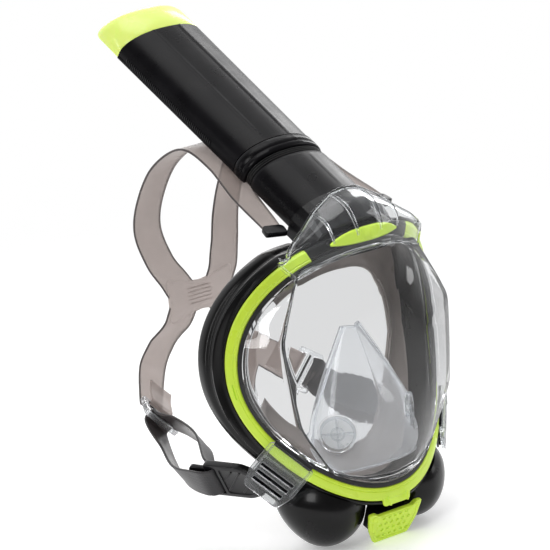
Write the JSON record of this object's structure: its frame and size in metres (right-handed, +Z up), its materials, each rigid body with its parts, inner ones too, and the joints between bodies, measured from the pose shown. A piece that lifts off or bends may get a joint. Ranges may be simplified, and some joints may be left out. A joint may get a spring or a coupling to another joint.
{
  "type": "full face snorkel mask",
  "caption": "Full face snorkel mask with a clear visor in a lime ring, black silicone skirt, silicone head harness with side buckles, and a slanting dry-top snorkel tube.",
  "frame": {"origin": "middle of the face opening, on the plane through the rim's side points, at the height of the wearer's eyes and nose bridge", "axes": "+Z up, -Y the way the visor faces, +Y towards the back of the wearer's head, +X towards the wearer's left"},
  "size_m": [0.2138, 0.2675, 0.3741],
  "materials": {
    "lime": "satin lime ABS",
    "cap_lime": "satin pale lime ABS",
    "clear": "clear polycarbonate, gloss",
    "clear_clip": "clear polycarbonate clip, gloss",
    "pocket": "clear silicone",
    "smoke_silicone": "smoke silicone, satin",
    "skirt_silicone": "black silicone, gloss",
    "black_plastic": "black ABS, satin",
    "valve_plastic": "clear polycarbonate valve seat",
    "gasket": "black rubber",
    "strap": "taupe grey translucent silicone"
  },
  "bodies": {
    "mask": {"visor_lens": "clear", "frame_ring": "lime", "lens_gasket": "gasket", "top_badge": "lime", "outer_skirt": "skirt_silicone", "face_seal": "smoke_silicone", "chin_lobe_l": "skirt_silicone", "chin_lobe_r": "skirt_silicone", "orinasal_pocket": "pocket", "inhale_valve_seat_l": "valve_plastic", "inhale_valve_seat_r": "valve_plastic", "purge_cover": "lime", "purge_housing": "black_plastic", "purge_valve_seat": "black_plastic", "snorkel_socket": "black_plastic", "head_harness": "strap", "strap_slider_l": "clear_clip", "strap_slider_r": "clear_clip", "strap_lug_l": "clear_clip", "strap_lug_r": "clear_clip", "top_strap_anchor_l": "black_plastic", "top_strap_anchor_r": "black_plastic", "strap_loop_l": "strap", "strap_loop_r": "strap"},
    "snorkel_lower": {"snorkel_base": "black_plastic", "socket_gasket": "gasket", "flexible_joint": "gasket"},
    "snorkel_tube": {"snorkel_collar": "black_plastic", "snorkel_front_shell": "black_plastic", "snorkel_back_shell": "black_plastic", "duct_divider_l": "black_plastic", "duct_divider_r": "black_plastic", "snorkel_cap": "cap_lime", "float_cage": "black_plastic", "float_seal": "gasket"},
    "float": {"float": "valve_plastic"},
    "exhaust_flap_l": {"exhaust_flap_l": "smoke_silicone"},
    "exhaust_flap_r": {"exhaust_flap_r": "smoke_silicone"},
    "inhale_valve_flap_l": {"inhale_valve_flap_l": "smoke_silicone"},
    "inhale_valve_flap_r": {"inhale_valve_flap_r": "smoke_silicone"},
    "purge_membrane": {"purge_membrane": "smoke_silicone"},
    "buckle_l": {"buckle_body_l": "black_plastic"},
    "buckle_r": {"buckle_body_r": "black_plastic"},
    "release_tab_l": {"release_tab_l": "black_plastic"},
    "release_tab_r": {"release_tab_r": "black_plastic"}
  },
  "joints": [
    {"name": "snorkel_pull_off", "type": "slide", "parent": "mask", "child": "snorkel_lower", "axis": [0, 0.866, 0.5], "range_m": [0, 0.018]},
    {"name": "snorkel_flex", "type": "hinge", "parent": "snorkel_lower", "child": "snorkel_tube", "pos_m": [0, 0.00409, 0.14037], "axis": [1, 0, 0], "range_deg": [-4, 12], "stiffness_Nm_per_rad": 3, "deforming": ["flexible_joint"]},
    {"name": "float_rise", "type": "slide", "parent": "snorkel_tube", "child": "float", "axis": [0, 0.866, 0.5], "range_m": [0, 0.0055]},
    {"name": "exhaust_flap_lift_l", "type": "hinge", "parent": "snorkel_tube", "child": "exhaust_flap_l", "pos_m": [0.0275, 0.14842, 0.22278], "axis": [0, 0.5, -0.866], "range_deg": [0, 20], "stiffness_Nm_per_rad": 0.001},
    {"name": "inhale_flap_open_l", "type": "hinge", "parent": "mask", "child": "inhale_valve_flap_l", "pos_m": [0.03186, -0.06374, -0.0313], "axis": [0.7314, 0.682, 0], "range_deg": [0, 30], "stiffness_Nm_per_rad": 0.001},
    {"name": "exhaust_flap_lift_r", "type": "hinge", "parent": "snorkel_tube", "child": "exhaust_flap_r", "pos_m": [-0.0275, 0.14842, 0.22278], "axis": [0, -0.5, 0.866], "range_deg": [0, 20], "stiffness_Nm_per_rad": 0.001},
    {"name": "inhale_flap_open_r", "type": "hinge", "parent": "mask", "child": "inhale_valve_flap_r", "pos_m": [-0.03186, -0.06374, -0.0313], "axis": [0.7314, -0.682, 0], "range_deg": [0, 30], "stiffness_Nm_per_rad": 0.001},
    {"name": "purge_membrane_open", "type": "hinge", "parent": "mask", "child": "purge_membrane", "pos_m": [0, -0.06705, -0.10673], "axis": [-1, 0, 0], "range_deg": [0, 25], "stiffness_Nm_per_rad": 0.001},
    {"name": "buckle_swing_l", "type": "hinge", "parent": "mask", "child": "buckle_l", "pos_m": [0.07969, -0.03095, -0.0745], "axis": [0.5431, 0.4784, 0.6901], "range_deg": [-6, 6], "deforming": ["strap_loop_l"]},
    {"name": "release_tab_press_l", "type": "hinge", "parent": "buckle_l", "child": "release_tab_l", "pos_m": [0.09388, 0.01249, -0.0745], "axis": [0.441, -0.144, 0.8859], "range_deg": [0, 8], "stiffness_Nm_per_rad": 0.05},
    {"name": "buckle_swing_r", "type": "hinge", "parent": "mask", "child": "buckle_r", "pos_m": [-0.07969, -0.03095, -0.0745], "axis": [0.5431, -0.4784, -0.6901], "range_deg": [-6, 6], "deforming": ["strap_loop_r"]},
    {"name": "release_tab_press_r", "type": "hinge", "parent": "buckle_r", "child": "release_tab_r", "pos_m": [-0.09388, 0.01249, -0.0745], "axis": [0.441, 0.144, -0.8859], "range_deg": [0, 8], "stiffness_Nm_per_rad": 0.05}
  ]
}
